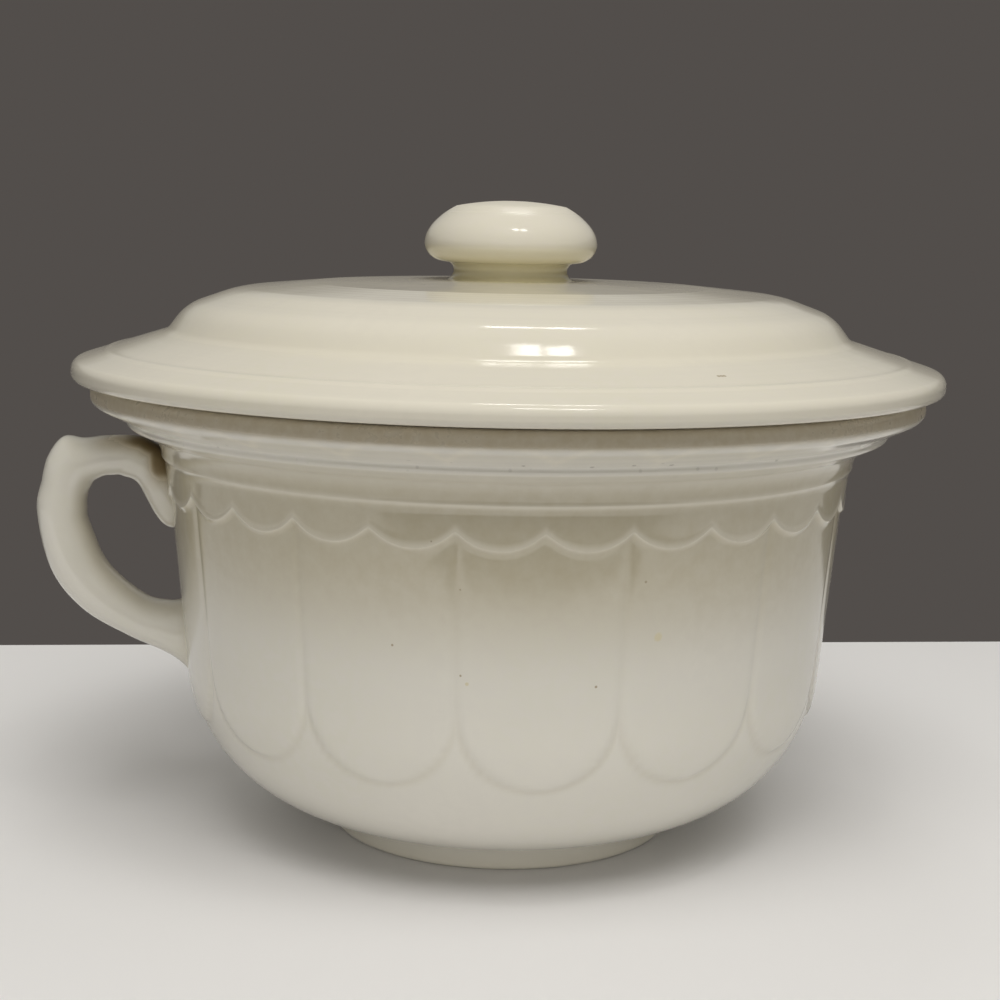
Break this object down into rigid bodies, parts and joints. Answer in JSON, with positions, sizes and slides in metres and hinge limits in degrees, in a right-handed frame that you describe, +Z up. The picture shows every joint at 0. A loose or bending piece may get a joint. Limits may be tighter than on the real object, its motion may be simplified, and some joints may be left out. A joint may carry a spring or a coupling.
{
  "type": "chamber pot",
  "caption": "Round covered chamber pot with a scalloped, panelled wall, flared rim, side strap handle and a loose lid with a knob.",
  "frame": {"origin": "centre of the foot ring, on the surface the pot stands on", "axes": "+Z up along the pot's axis, handle towards -X"},
  "size_m": [0.2528, 0.242, 0.1779],
  "materials": {
    "pot_glaze": "gloss",
    "lid_glaze": "gloss"
  },
  "bodies": {
    "pot": {"pot_body": "pot_glaze", "handle": "pot_glaze"},
    "lid": {"lid": "lid_glaze", "knob": "lid_glaze"}
  },
  "joints": [
    {"name": "lid_lift", "type": "slide", "parent": "pot", "child": "lid", "axis": [0, 0, 1], "range_m": [0, 0.12]}
  ]
}
